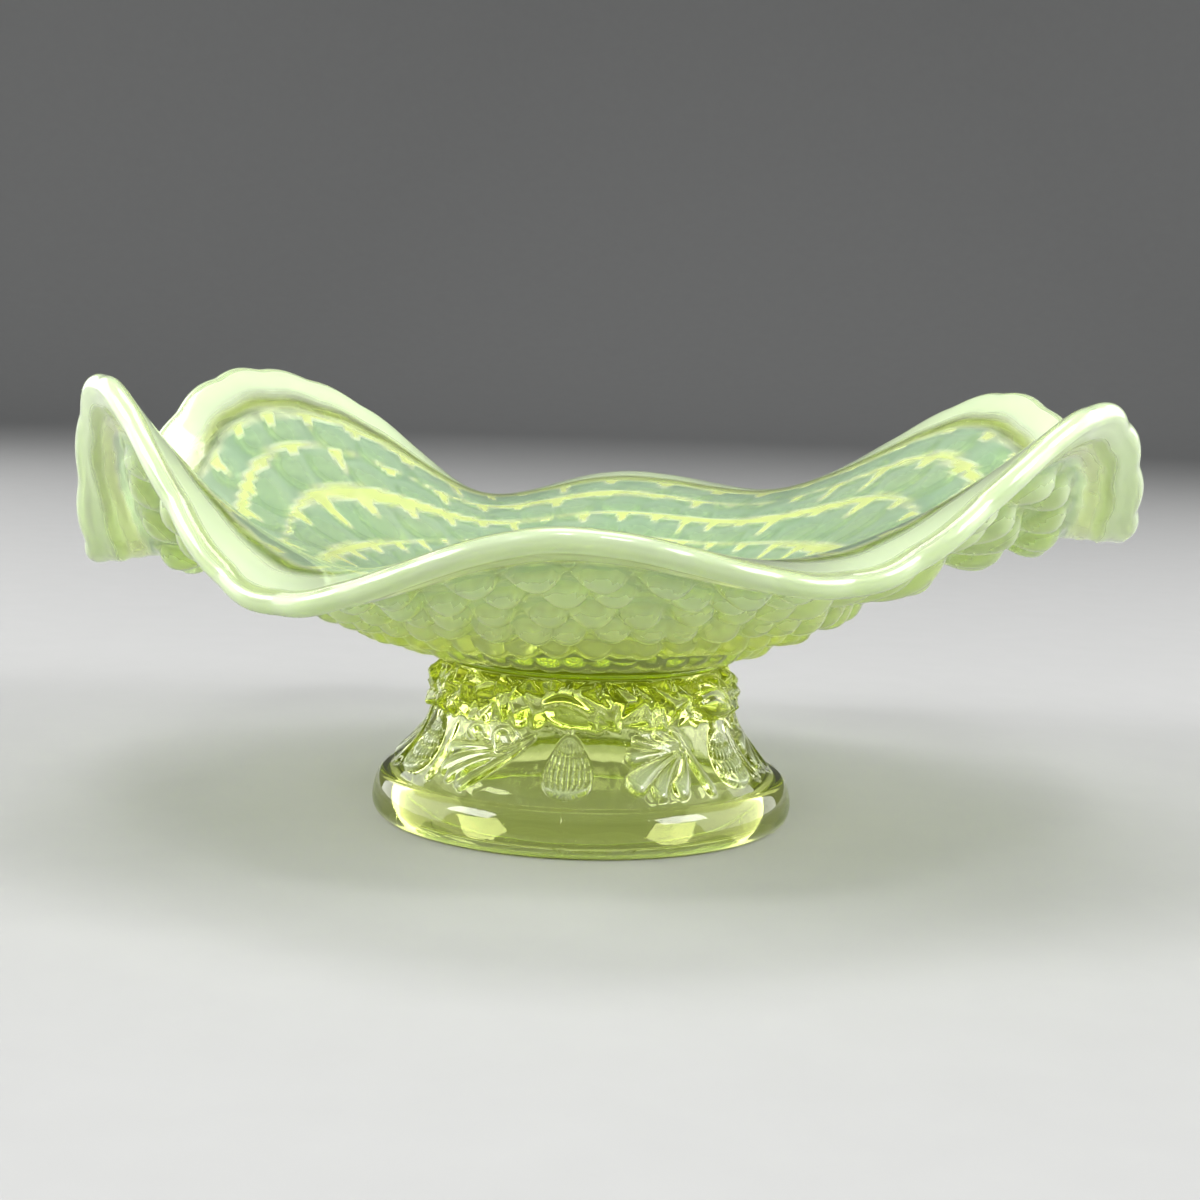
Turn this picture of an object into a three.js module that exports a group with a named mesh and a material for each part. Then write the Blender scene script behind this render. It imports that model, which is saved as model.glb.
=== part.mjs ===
// Footed uranium glass dish: a ruffled bowl, the thin wafer of glass that joins it, and a hollow spreading foot.
// Millimetres, +Z up. The dish stands on z = 0 and is centred on the middle of its bounding box.

import * as THREE from 'three';
import { ParametricGeometry } from 'three/addons/geometries/ParametricGeometry.js';

// ---------------------------------------------------------------- driving dimensions

// Neck: the stem's top, the wafer and the bowl's underside all meet here and take their radii from it.
const neckRadius = 32;
const waferOverhang = 1.2;        // how far the wafer bulges out of the join
const bowlNeckOverhang = 1;       // how far the flat under the bowl reaches past the neck

// Foot: a rounded flange that stands on its rest ring, a sloping skirt above it, and a short rockwork stem.
const flangeRadius = 50;          // widest point of the foot
const flangeBulgeHeight = 3.6;    // height of that widest point
const flangeHeight = 10.5;        // height of the ring line on top of the flange
const flangeShoulder = 3.3;       // how far the flange draws in between its widest point and the ring line
const restRingInset = 2.5;        // how far the flat ring that touches the table keeps inside the flange
const restRingWidth = 3.5;
const ringLineDepth = 0.8;        // step at the ring line
const skirtTopStep = 3.1;         // how far the top of the skirt stands out from the neck
const skirtTopHeight = 26;
const skirtSag = 1.6;             // hollow of the skirt's flank between the ring line and the stem
const stemSwell = 1.5;            // how far the stem swells between the skirt and the neck
const footHeight = 36.4;
const footWall = 4.6;
const stemRoof = 5.5;             // glass above the hollow of the foot

// Relief moulded into the foot.
const shellCount = 6;
const shellWidth = 11.4;
const shellTop = 24.6;            // heights of the shell's narrow and wide ends
const shellBottom = 12.8;
const shellRelief = 1.4;
const rockRelief = 1.1;

// Joining wafer between foot and bowl.
const waferThickness = 2.2;
const joinGap = 0.3;              // clearance above and below the wafer

// Bowl: a shallow cone whose rim is worked into six ruffles.
const bowlFloorInset = 8;         // how far the flat floor inside the bowl keeps inside the neck
const bowlRadius = 125;           // reach of the tallest ruffles from the bowl's own axis
const bowlSlope = 0.46;           // rise per millimetre outward
const bowlTilt = 0.07;            // how much steeper it rises towards +X, and flatter towards -X
const bowlLean = 3.5;             // how far the rim sits towards +X from the foot's axis
const neckWall = 6;
const lipWall = 4.8;
const ruffleStart = 24;           // distance out from the neck where the ruffles begin
const rufflePower = 2.6;

// Bosses on the outside of the bowl.
const bossRings = 5;
const bossPitch = 12;             // from ring to ring
const firstBossRing = 7;          // distance out from the neck to the first ring's inner edge
const bossHeight = 3;
const lipBand = 12;               // smooth band below the rim

// The rim's stations, in order round the bowl: direction in degrees from +X towards +Y, how far the station
// stands inside bowlRadius, and its rise above the bowl's underside.
const rimStations = [
  { direction: -3, inset: 4, rise: 30 },      // right end, drawn out into a low tongue
  { direction: 33, inset: 0, rise: 61.5 },    // tall crest, back right
  { direction: 50, inset: 4, rise: 46.5 },
  { direction: 66, inset: 8, rise: 29 },
  { direction: 94, inset: 0, rise: 30.5 },    // low crest, back
  { direction: 114, inset: 6, rise: 25 },
  { direction: 128, inset: 3, rise: 48 },
  { direction: 142, inset: 0, rise: 62 },     // tall crest, back left, broader than the others
  { direction: 157, inset: 1, rise: 57 },
  { direction: 188, inset: 5, rise: 18 },     // left end, drawn out into a low tongue
  { direction: 213, inset: 2, rise: 62 },     // tall crest, front left
  { direction: 236, inset: 5, rise: 23.5 },
  { direction: 269, inset: 2, rise: 34.5 },   // low crest, front
  { direction: 301, inset: 5, rise: 28.5 },
  { direction: 328, inset: 0, rise: 61 },     // tall crest, front right
];

// Fineness of the meshes.
const bowlColumns = 120;
const footColumns = 96;
const waferColumns = 60;

// ---------------------------------------------------------------- places worked out from them

const restRingOuter = flangeRadius - restRingInset;
const skirtTopRadius = neckRadius + skirtTopStep;
const waferBase = footHeight + joinGap;
const waferRadius = neckRadius + waferOverhang;
const bowlBase = waferBase + waferThickness + joinGap;
const bowlNeckRadius = neckRadius + bowlNeckOverhang;
const bowlFloorRadius = neckRadius - bowlFloorInset;

// ---------------------------------------------------------------- helpers

const mix = THREE.MathUtils.lerp;

// A closed skin: sections is a list of functions, from the axis below to the axis above; each one places a
// point of its ring for a turn between 0 and 1.
function closedSkin(columns, sections) {
  const last = sections.length - 1;
  const place = (turn, along, target) => target.copy(sections[Math.round(along * last)](turn % 1));
  return new ParametricGeometry(place, columns, last);
}

function polar(radius, turn, height) {
  const angle = turn * Math.PI * 2;
  return new THREE.Vector3(radius * Math.cos(angle), radius * Math.sin(angle), height);
}

const ringAt = (radius, height) => (turn) => polar(radius, turn, height);

// ---------------------------------------------------------------- bowl

// A smooth function of the turn through one value of every station, with each station's slope taken from
// the two beside it.
function roundTheRim(value) {
  const count = rimStations.length;
  const station = (index) => {
    const lap = Math.floor(index / count);
    const { direction, [value]: level } = rimStations[index - lap * count];
    return { place: direction / 360 + lap, level };
  };
  const slope = (index) => {
    const before = station(index - 1);
    const after = station(index + 1);
    return (after.level - before.level) / (after.place - before.place);
  };
  const start = station(0).place;
  return (turn) => {
    const place = start + THREE.MathUtils.euclideanModulo(turn - start, 1);
    let index = count - 1;
    while (station(index).place > place) index -= 1;
    const from = station(index);
    const to = station(index + 1);
    const gap = to.place - from.place;
    const share = (place - from.place) / gap;
    const left = 1 - share;
    return (1 + 2 * share) * left ** 2 * from.level + share * left ** 2 * gap * slope(index)
      + (1 + 2 * left) * share ** 2 * to.level - left * share ** 2 * gap * slope(index + 1);
  };
}

const rimInset = roundTheRim('inset');
const rimRise = roundTheRim('rise');

function rimPoint(turn) {
  const point = polar(bowlRadius - rimInset(turn), turn, bowlBase + rimRise(turn));
  point.x += bowlLean;
  return point;
}

// A point of the bowl's outer face: travel runs from 0 at the neck to 1 at the rim.
function outerFace(turn, travel) {
  const neck = polar(bowlNeckRadius, turn, bowlBase);
  const edge = rimPoint(turn);
  const reach = Math.hypot(edge.x - neck.x, edge.y - neck.y);
  const rise = (bowlSlope + bowlTilt * Math.cos(turn * Math.PI * 2)) * reach;
  const lift = edge.z - bowlBase - rise;
  const out = Math.max(0, travel * reach - ruffleStart) / (reach - ruffleStart);
  const point = new THREE.Vector3().lerpVectors(neck, edge, travel);
  point.z = bowlBase + rise * travel + lift * Math.pow(out, rufflePower);
  return point;
}

const outwardReach = (turn) => {
  const neck = outerFace(turn, 0);
  const edge = outerFace(turn, 1);
  return Math.hypot(edge.x - neck.x, edge.y - neck.y);
};

// Directions at a point of the outer face: along points to the rim, inward points through the wall.
function faceDirections(turn, travel) {
  const step = 0.002;
  const low = Math.max(0, travel - step);
  const along = outerFace(turn, low + 2 * step).sub(outerFace(turn, low)).normalize();
  const across = outerFace(turn + step, travel).sub(outerFace(turn - step, travel));
  const inward = new THREE.Vector3().crossVectors(along, across).normalize();
  return { along, inward };
}

const wallAt = (travel) => mix(neckWall, lipWall, travel);

// A ring of the outer face at a distance in millimetres from the neck, standing proud by relief(column).
function outerRing(distance, relief = () => 0) {
  return (turn) => {
    const travel = distance / outwardReach(turn);
    const column = Math.round(turn * bowlColumns);
    const { inward } = faceDirections(turn, travel);
    return outerFace(turn, travel).addScaledVector(inward, -relief(column));
  };
}

// A ring of the lip's rounded edge: swing runs from 0 on the outer face to 1 on the inner face.
function lipRing(swing) {
  return (turn) => {
    const half = lipWall / 2;
    const travel = 1 - half / outwardReach(turn);
    const { along, inward } = faceDirections(turn, travel);
    return outerFace(turn, travel)
      .addScaledVector(inward, half - half * Math.cos(swing * Math.PI))
      .addScaledVector(along, half * Math.sin(swing * Math.PI));
  };
}

function innerRing(travel) {
  return (turn) => {
    const { inward } = faceDirections(turn, travel);
    return outerFace(turn, travel).addScaledVector(inward, wallAt(travel));
  };
}

// Rings of bosses: every second ring carries a boss on every second column, staggered from ring to ring.
function bossSections() {
  const sections = [];
  for (let half = 0; half <= 2 * bossRings; half += 1) {
    const isPeak = half % 2 === 1;
    const ring = (half - 1) / 2;
    const height = bossHeight * mix(0.6, 1, half / (2 * bossRings));
    const relief = (column) => (isPeak && (column + ring) % 2 === 0 ? height : 0);
    sections.push(outerRing(firstBossRing + half * bossPitch / 2, relief));
  }
  return sections;
}

function bowlGeometry() {
  const lipBandMiddle = (turn) => outerFace(turn, 1 - lipBand / 2 / outwardReach(turn));
  return closedSkin(bowlColumns, [
    ringAt(0, bowlBase),
    ringAt(bowlNeckRadius, bowlBase),
    ...bossSections(),
    lipBandMiddle,
    ...[0, 0.25, 0.5, 0.75, 1].map(lipRing),
    ...[0.92, 0.8, 0.66, 0.5, 0.34, 0.18, 0.06].map(innerRing),
    ringAt(bowlFloorRadius, bowlBase + neckWall),
    ringAt(0, bowlBase + neckWall),
  ]);
}

// ---------------------------------------------------------------- joining wafer

function waferGeometry() {
  const edge = waferThickness / 2;
  const outline = new THREE.Path();
  outline.moveTo(0, waferBase);
  outline.lineTo(waferRadius - edge, waferBase);
  outline.absarc(waferRadius - edge, waferBase + edge, edge, -Math.PI / 2, Math.PI / 2);
  outline.lineTo(0, waferBase + waferThickness);
  const wafer = new THREE.LatheGeometry(outline.getPoints(4), waferColumns);
  return wafer.rotateX(Math.PI / 2);
}

// ---------------------------------------------------------------- foot

// Radius of the skirt's flank at a height between the ring line and the stem.
function skirtRadius(height) {
  const base = flangeRadius - flangeShoulder - ringLineDepth;
  const climb = (height - flangeHeight) / (skirtTopHeight - flangeHeight);
  return mix(base, skirtTopRadius, climb) - skirtSag * Math.sin(climb * Math.PI);
}

// How far a cockle shell stands out of the skirt: a fan, narrow above and rounded below.
function shellHeight(turn, height) {
  const drop = (shellTop - height) / (shellTop - shellBottom);
  if (drop <= 0 || drop >= 1) return 0;
  const spacing = 1 / shellCount;
  const nearest = Math.round((turn + 0.25) / spacing) * spacing - 0.25;
  const aside = Math.abs(turn - nearest) * 2 * Math.PI * skirtRadius(height);
  const halfWidth = shellWidth / 2 * Math.min(1, 0.25 + 1.2 * drop) * Math.sqrt(Math.min(1, 4 * (1 - drop)));
  return shellRelief * Math.sqrt(Math.max(0, 1 - (aside / halfWidth) ** 2));
}

const skirtRing = (height) => (turn) => polar(skirtRadius(height) + shellHeight(turn, height), turn, height);

// A ring of the stem, its radius swelling to the bulge and drawing in to the neck, broken into rock facets.
function stemRing(climb, phase) {
  return (turn) => {
    const radius = mix(skirtTopRadius, neckRadius, climb) + stemSwell * Math.sin(climb * Math.PI);
    const column = Math.round(turn * footColumns);
    const rock = (column + phase) % 3 === 0 ? rockRelief : 0;
    return polar(radius + rock, turn, mix(skirtTopHeight, footHeight, climb));
  };
}

function footGeometry() {
  const skirtRings = [1, 2, 3, 4, 5, 6].map((step) => mix(flangeHeight, skirtTopHeight, step / 6));
  const hollowTop = footHeight - stemRoof;
  const hollowRadius = (height) => skirtRadius(height) - footWall;
  return closedSkin(footColumns, [
    ringAt(0, hollowTop),
    ringAt(neckRadius - footWall - 4, hollowTop),
    ringAt(neckRadius - footWall, hollowTop - 4),
    ...[0.75, 0.4, 0].map((climb) => {
      const height = mix(flangeHeight, skirtTopHeight, climb);
      return ringAt(hollowRadius(height), height);
    }),
    ringAt(restRingOuter - restRingWidth, 0),
    ringAt(restRingOuter, 0),
    ringAt(mix(restRingOuter, flangeRadius, 0.8), flangeBulgeHeight * 0.35),
    ringAt(flangeRadius, flangeBulgeHeight),
    ringAt(flangeRadius - flangeShoulder * 0.25, mix(flangeBulgeHeight, flangeHeight, 0.5)),
    ringAt(flangeRadius - flangeShoulder, flangeHeight - ringLineDepth / 2),
    ringAt(skirtRadius(flangeHeight), flangeHeight),
    ...skirtRings.map(skirtRing),
    stemRing(0.3, 0),
    stemRing(0.6, 1),
    stemRing(0.85, 2),
    ringAt(neckRadius, footHeight),
    ringAt(0, footHeight),
  ]);
}

// ---------------------------------------------------------------- the dish

const opalescentGlass = () => new THREE.MeshStandardMaterial({
  name: 'opal_glass', color: 0xc9e8a8, roughness: 0.08, metalness: 0, transparent: true, opacity: 0.55,
});

const uraniumGlass = () => new THREE.MeshStandardMaterial({
  name: 'uranium_glass', color: 0xc4e040, roughness: 0.05, metalness: 0, transparent: true, opacity: 0.45,
});

function piece(name, geometry, material) {
  const mesh = new THREE.Mesh(geometry, material);
  mesh.name = name;
  return mesh;
}

const dish = new THREE.Group();
dish.add(piece('foot', footGeometry(), uraniumGlass()));
dish.add(piece('joining_wafer', waferGeometry(), uraniumGlass()));
dish.add(piece('bowl', bowlGeometry(), opalescentGlass()));

// The bowl leans and its ruffles differ, so the whole dish is moved until its box is centred over the origin.
const middle = new THREE.Box3().setFromObject(dish).getCenter(new THREE.Vector3());
dish.position.set(-middle.x, -middle.y, 0);

export default dish;
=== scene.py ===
"""Looks of a footed uranium glass dish: a ruffled opalescent bowl, a joining wafer and a hollow foot.

Sizes in the dataclass fields are millimetres. Meshes are made in metres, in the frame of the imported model.
"""

import logging
import math
from dataclasses import dataclass, field
from enum import Enum

import bpy
import numpy as np
from mathutils import Matrix, Vector


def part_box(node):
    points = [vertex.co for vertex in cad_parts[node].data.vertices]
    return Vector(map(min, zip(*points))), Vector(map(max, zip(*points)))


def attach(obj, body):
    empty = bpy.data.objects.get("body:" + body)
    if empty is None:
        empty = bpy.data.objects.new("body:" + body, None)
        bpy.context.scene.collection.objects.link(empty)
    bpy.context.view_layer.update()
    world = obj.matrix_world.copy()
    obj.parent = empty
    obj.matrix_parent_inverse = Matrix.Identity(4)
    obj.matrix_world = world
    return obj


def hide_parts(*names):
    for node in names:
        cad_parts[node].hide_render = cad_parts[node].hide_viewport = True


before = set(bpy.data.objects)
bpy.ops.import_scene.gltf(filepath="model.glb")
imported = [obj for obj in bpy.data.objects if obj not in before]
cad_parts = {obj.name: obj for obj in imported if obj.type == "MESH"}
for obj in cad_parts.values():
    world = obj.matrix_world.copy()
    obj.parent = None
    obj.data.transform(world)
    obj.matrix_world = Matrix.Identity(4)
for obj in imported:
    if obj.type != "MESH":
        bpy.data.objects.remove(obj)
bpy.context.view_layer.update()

MM = 0.001
TURN = 2.0 * math.pi
SHELLS = 6
SNAILS = 5
SEAMS = 3
ROOT_BODY = "root"
OPAL = "opal"
COOL = "cool"
log = logging.getLogger("dish")

Array = np.ndarray
Rgb = tuple[float, float, float]
Colour = Rgb | bpy.types.NodeSocket


# ------------------------------------------------------------ shared tools


class Node(Enum):
    """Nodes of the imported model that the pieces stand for."""

    BOWL = "bowl"
    WAFER = "joining_wafer"
    FOOT = "foot"


class Slot(Enum):
    """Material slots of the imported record."""

    BOWL = "opal_glass"
    WAFER = "wafer_glass"
    FOOT = "uranium_glass"


def smooth_step(low: float, high: float, value: Array) -> Array:
    """Ease from 0 to 1 between two edges.

    Args:
        low: Edge where the result leaves 0.
        high: Edge where the result reaches 1.
        value: Where to evaluate it.

    Returns:
        The eased share, of the same shape as value.
    """
    share = np.clip((value - low) / (high - low), 0.0, 1.0)
    return share * share * (3.0 - 2.0 * share)


def unit(vectors: Array) -> Array:
    """Scale vectors along the last axis to length 1.

    Args:
        vectors: Array whose last axis holds x, y and z.

    Returns:
        The unit vectors.
    """
    return vectors / np.linalg.norm(vectors, axis=-1, keepdims=True)


def polar(radius: Array, turn: Array, height: Array) -> Array:
    """Place points round the z axis.

    Args:
        radius: Distance from the axis.
        turn: Share of a full turn from +X towards +Y.
        height: Height of the points.

    Returns:
        Points, with x, y and z on the last axis.
    """
    radius, turn, height = np.broadcast_arrays(radius, turn, height)
    return np.stack([radius * np.cos(turn * TURN), radius * np.sin(turn * TURN), height], axis=-1)


def wrapped(distance: Array, length: float) -> Array:
    """Fold a distance round a closed path into the half-length either side of zero.

    Args:
        distance: Distances along the path.
        length: Length of the whole path.

    Returns:
        The shortest signed distances.
    """
    return (distance + length / 2.0) % length - length / 2.0


class RoundCurve:
    """A smooth curve through a few values, closed round a full turn."""

    def __init__(self, places: Array, values: Array) -> None:
        """Find the curvature at each place that makes the curve smooth all round.

        Args:
            places: Rising shares of a full turn.
            values: Value at each place.
        """
        self.places = places
        self.values = values
        self.gaps = np.diff(np.append(places, places[0] + 1.0))
        slopes = (np.roll(values, -1) - values) / self.gaps
        size = len(places)
        balance = np.zeros((size, size))
        for row in range(size):
            balance[row, row] = 2.0 * (self.gaps[row - 1] + self.gaps[row])
            balance[row, row - 1] += self.gaps[row - 1]
            balance[row, (row + 1) % size] += self.gaps[row]
        self.bends = np.linalg.solve(balance, 6.0 * (slopes - np.roll(slopes, 1)))

    def __call__(self, turn: Array) -> Array:
        """Read the curve.

        Args:
            turn: Share of a full turn.

        Returns:
            The values there.
        """
        past = (turn - self.places[0]) % 1.0
        first = np.searchsorted(self.places - self.places[0], past, side="right") - 1
        after = (first + 1) % len(self.places)
        gap = self.gaps[first]
        b = (past - self.places[first] + self.places[0]) / gap
        a = 1.0 - b
        bend = (a**3 - a) * self.bends[first] + (b**3 - b) * self.bends[after]
        return a * self.values[first] + b * self.values[after] + bend * gap**2 / 6.0


@dataclass
class Skin:
    """A closed skin of stacked rings, from the axis below to the axis above.

    Attributes:
        rings: Points in millimetres, indexed by ring, column and axis.
        opal: How milky the glass is at each point, from 0 to 1.
        cool: How far the milk leans to blue-green at each point, up to 1, or to lime, down to -1.
    """

    rings: Array
    opal: Array
    cool: Array

    def build(self, name: str, slot: Slot, node: Node, material: bpy.types.Material) -> bpy.types.Object:
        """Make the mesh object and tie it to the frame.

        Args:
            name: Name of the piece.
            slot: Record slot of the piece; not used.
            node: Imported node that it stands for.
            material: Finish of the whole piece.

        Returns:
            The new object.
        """
        ring_count, columns, _ = self.rings.shape
        poles = np.stack([self.rings[0].mean(axis=0), self.rings[-1].mean(axis=0)])
        points = np.concatenate([self.rings.reshape(-1, 3), poles]) * MM
        low_pole = ring_count * columns
        column = np.arange(columns)
        following = (column + 1) % columns
        start = (np.arange(ring_count - 1) * columns)[:, None]
        above = start + columns
        corners = [start + column, start + following, above + following, above + column]
        quads = np.stack(corners, axis=-1).reshape(-1, 4)
        last = (ring_count - 1) * columns
        low_fan = [(low_pole, b, a) for a, b in zip(column, following)]
        high_fan = [(low_pole + 1, last + a, last + b) for a, b in zip(column, following)]
        mesh = bpy.data.meshes.new(name)
        mesh.from_pydata(points.tolist(), [], quads.tolist() + low_fan + high_fan)
        mesh.polygons.foreach_set("use_smooth", [True] * len(mesh.polygons))
        for label, values in ((OPAL, self.opal), (COOL, self.cool)):
            at_poles = [values[0].mean(), values[-1].mean()]
            layer = mesh.attributes.new(label, "FLOAT", "POINT")
            layer.data.foreach_set("value", np.concatenate([values.ravel(), at_poles]).astype(np.float32))
        mesh.materials.append(material)
        mesh.update()
        piece = shown(name, mesh)
        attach(piece, ROOT_BODY)
        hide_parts(node.value)
        log.info("%s: %d faces", name, len(mesh.polygons))
        return piece


def shown(name: str, data: bpy.types.ID) -> bpy.types.Object:
    """Put new data in the scene.

    Args:
        name: Name of the object.
        data: Its mesh, light or camera.

    Returns:
        The new object.
    """
    placed = bpy.data.objects.new(name, data)
    bpy.context.scene.collection.objects.link(placed)
    return placed


def node_span(node: Node) -> tuple[Array, Array]:
    """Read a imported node's box.

    Args:
        node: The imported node.

    Returns:
        Its lowest and highest corners in millimetres.
    """
    low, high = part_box(node.value)
    return np.array(low) / MM, np.array(high) / MM


# ------------------------------------------------------------ finishes


class NodeBench:
    """A material's node tree with short calls to add and join nodes."""

    def __init__(self, name: str) -> None:
        """Start an empty node material.

        Args:
            name: Name of the material.
        """
        self.material = bpy.data.materials.new(name)
        self.material.use_nodes = True
        self.tree = self.material.node_tree
        self.tree.nodes.clear()
        self.output = self.tree.nodes.new("ShaderNodeOutputMaterial")

    def add(self, kind: str, inputs: dict | None = None, **settings: object) -> bpy.types.Node:
        """Add a node, set its properties and fill or join its inputs.

        Args:
            kind: Node type without the ShaderNode prefix.
            inputs: Input name or number to a value, or to the socket that feeds it.
            **settings: Properties of the node itself.

        Returns:
            The new node.
        """
        node = self.tree.nodes.new("ShaderNode" + kind)
        for key, value in settings.items():
            setattr(node, key, value)
        for key, value in (inputs or {}).items():
            if isinstance(value, bpy.types.NodeSocket):
                self.tree.links.new(value, node.inputs[key])
            else:
                node.inputs[key].default_value = value
        return node

    def mapped(self, value: bpy.types.NodeSocket, low: float, high: float) -> bpy.types.NodeSocket:
        """Stretch a 0 to 1 value to another range.

        Args:
            value: Socket to stretch.
            low: Result at 0.
            high: Result at 1.

        Returns:
            The stretched socket.
        """
        node = self.add("MapRange", {"Value": value, "To Min": low, "To Max": high})
        return node.outputs["Result"]

    def mixed(self, share: bpy.types.NodeSocket, first: Colour, second: Colour) -> bpy.types.NodeSocket:
        """Mix two colours.

        Args:
            share: How much of the second colour.
            first: First colour, or the socket that feeds it.
            second: Second colour, or the socket that feeds it.

        Returns:
            The mixed colour's socket.
        """
        sockets = [end if isinstance(end, bpy.types.NodeSocket) else (*end, 1.0) for end in (first, second)]
        return self.add("Mix", {0: share, 6: sockets[0], 7: sockets[1]}, data_type="RGBA").outputs[2]


@dataclass(frozen=True)
class UraniumGlass:
    """Yellow-green glass that turns milky where the piece's opal attribute says so.

    Attributes:
        name: Name of the material.
        clear: Surface tint of the clear glass.
        clear_deep: Second tint of the clear glass, in drifting streaks.
        milk: Colour of the milky glass.
        milk_shade: Second colour of the milky glass, in drifting clouds.
        cool_milk: Dark blue-green colour of the milky glass where the cool attribute is 1: the opal's bluish
            tint, darkened as painted shade.
        lime_milk: Bright lime colour of the milky glass where the cool attribute is -1; over the valleys
            inside the bowl and round the foot's base it is painted light.
        body: Colour that the glass keeps in its depth.
        density: How strongly the depth takes the other colours away.
        glow: Faint yellow-green light that uranium glass gives off in daylight, here a painted glow that
            lights the glass evenly, in shade as well.
        glow_strength: How strong that painted glow is.
        milk_clearness: How much light the milkiest glass still lets straight through.
        milk_roughness: How much the milkiest glass blurs what lies behind it.
        ripple: Strength of the fire-polished surface's slow ripple.
    """

    name: str
    clear: Rgb = (0.955, 0.99, 0.88)
    clear_deep: Rgb = (0.93, 0.98, 0.82)
    milk: Rgb = (0.85, 0.97, 0.72)
    milk_shade: Rgb = (0.79, 0.95, 0.62)
    cool_milk: Rgb = (0.12, 0.38, 0.25)
    lime_milk: Rgb = (0.88, 0.98, 0.32)
    body: Rgb = (0.94, 0.975, 0.1)
    density: float = 90.0
    glow: Rgb = (0.55, 0.68, 0.03)
    glow_strength: float = 0.03
    milk_clearness: float = 0.45
    milk_roughness: float = 0.35
    ripple: float = 0.12

    def material(self) -> bpy.types.Material:
        """Build the node material.

        Returns:
            The material.
        """
        bench = NodeBench(self.name)
        place = bench.add("TexCoord").outputs["Object"]
        drift = bench.add("TexNoise", {"Vector": place, "Scale": 28.0, "Detail": 3.0, "Distortion": 1.2})
        ripple = bench.add("TexNoise", {"Vector": place, "Scale": 160.0, "Detail": 2.0, "Roughness": 0.4})
        pits = bench.add("TexVoronoi", {"Vector": place, "Scale": 420.0, "Randomness": 1.0})
        opal = bench.add("Attribute", attribute_name=OPAL).outputs["Fac"]
        cool = bench.add("Attribute", attribute_name=COOL).outputs["Fac"]

        cloud = bench.mapped(drift.outputs["Fac"], 0.75, 1.2)
        milkiness = bench.add("Math", {0: opal, 1: cloud}, operation="MULTIPLY", use_clamp=True).outputs[0]

        clear = bench.mixed(drift.outputs["Fac"], self.clear, self.clear_deep)
        warm = bench.mixed(drift.outputs["Fac"], self.milk, self.milk_shade)
        # The cool attribute leans the milk towards the dark blue-green of cool_milk, used as painted shade,
        # or towards the bright lime of lime_milk, used as painted light over the bowl's inner valleys and
        # the foot's base.
        cooled = bench.mixed(cool, warm, self.cool_milk)
        lime = bench.add("Math", {0: cool, 1: -1.0}, operation="MULTIPLY", use_clamp=True)
        milk = bench.mixed(lime.outputs[0], cooled, self.lime_milk)
        colour = bench.mixed(milkiness, clear, milk)

        pit = bench.add("MapRange", {"Value": pits.outputs["Distance"], "From Max": 0.12})
        relief = bench.add(
            "Math", {0: pit.outputs["Result"], 1: 0.25, 2: ripple.outputs["Fac"]}, operation="MULTIPLY_ADD"
        )
        bump = bench.add("Bump", {"Strength": self.ripple, "Distance": 0.0004, "Height": relief.outputs[0]})

        shader = bench.add(
            "BsdfPrincipled",
            {
                "Base Color": colour,
                "Roughness": bench.mapped(milkiness, 0.03, self.milk_roughness),
                "IOR": 1.5,
                "Transmission Weight": bench.mapped(milkiness, 1.0, self.milk_clearness),
                "Coat Weight": milkiness,
                "Coat Roughness": 0.03,
                # Painted glow: an even yellow-green emission over the whole glass, only partly the real
                # daylight glow of uranium glass.
                "Emission Color": (*self.glow, 1.0),
                "Emission Strength": self.glow_strength,
                "Normal": bump.outputs[0],
            },
        )
        depth = bench.add("VolumeAbsorption", {"Color": (*self.body, 1.0), "Density": self.density})
        bench.tree.links.new(shader.outputs[0], bench.output.inputs["Surface"])
        bench.tree.links.new(depth.outputs[0], bench.output.inputs["Volume"])
        return bench.material


@dataclass(frozen=True)
class PaleFloor:
    """Plain matt pale paper that the dish stands on.

    Attributes:
        colour: Its colour.
        fleck: Second colour, in fine flecks.
    """

    colour: Rgb = (0.37, 0.37, 0.365)
    fleck: Rgb = (0.35, 0.35, 0.345)

    def material(self) -> bpy.types.Material:
        """Build the node material.

        Returns:
            The material.
        """
        bench = NodeBench("pale_floor")
        place = bench.add("TexCoord").outputs["Object"]
        grain = bench.add("TexNoise", {"Vector": place, "Scale": 60.0, "Detail": 4.0})
        colour = bench.mixed(grain.outputs["Fac"], self.colour, self.fleck)
        shader = bench.add("BsdfPrincipled", {"Base Color": colour, "Roughness": 0.9})
        bench.tree.links.new(shader.outputs[0], bench.output.inputs["Surface"])
        return bench.material


# ------------------------------------------------------------ bowl


@dataclass(frozen=True)
class RimStation:
    """A crest or a trough of the ruffled rim.

    Attributes:
        direction: Degrees from +X towards +Y.
        inset: How far it stands inside the tallest ruffles' reach.
        rise: Its height above the bowl's underside.
    """

    direction: float
    inset: float
    rise: float


RIM_STATIONS = (
    RimStation(-3, 4, 30),  # right end, drawn out into a low tongue
    RimStation(33, 0, 61.5),  # tall crest, back right
    RimStation(50, 4, 46.5),
    RimStation(66, 8, 29),
    RimStation(94, 0, 30.5),  # low crest, back
    RimStation(114, 6, 25),
    RimStation(128, 3, 48),
    RimStation(142, 0, 62),  # tall crest, back left, broader than the others
    RimStation(157, 1, 57),
    RimStation(188, 5, 18),  # left end, drawn out into a low tongue
    RimStation(213, 2, 62),  # tall crest, front left
    RimStation(236, 5, 23.5),
    RimStation(269, 2, 34.5),  # low crest, front
    RimStation(301, 5, 28.5),
    RimStation(328, 0, 61),  # tall crest, front right
)


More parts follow.
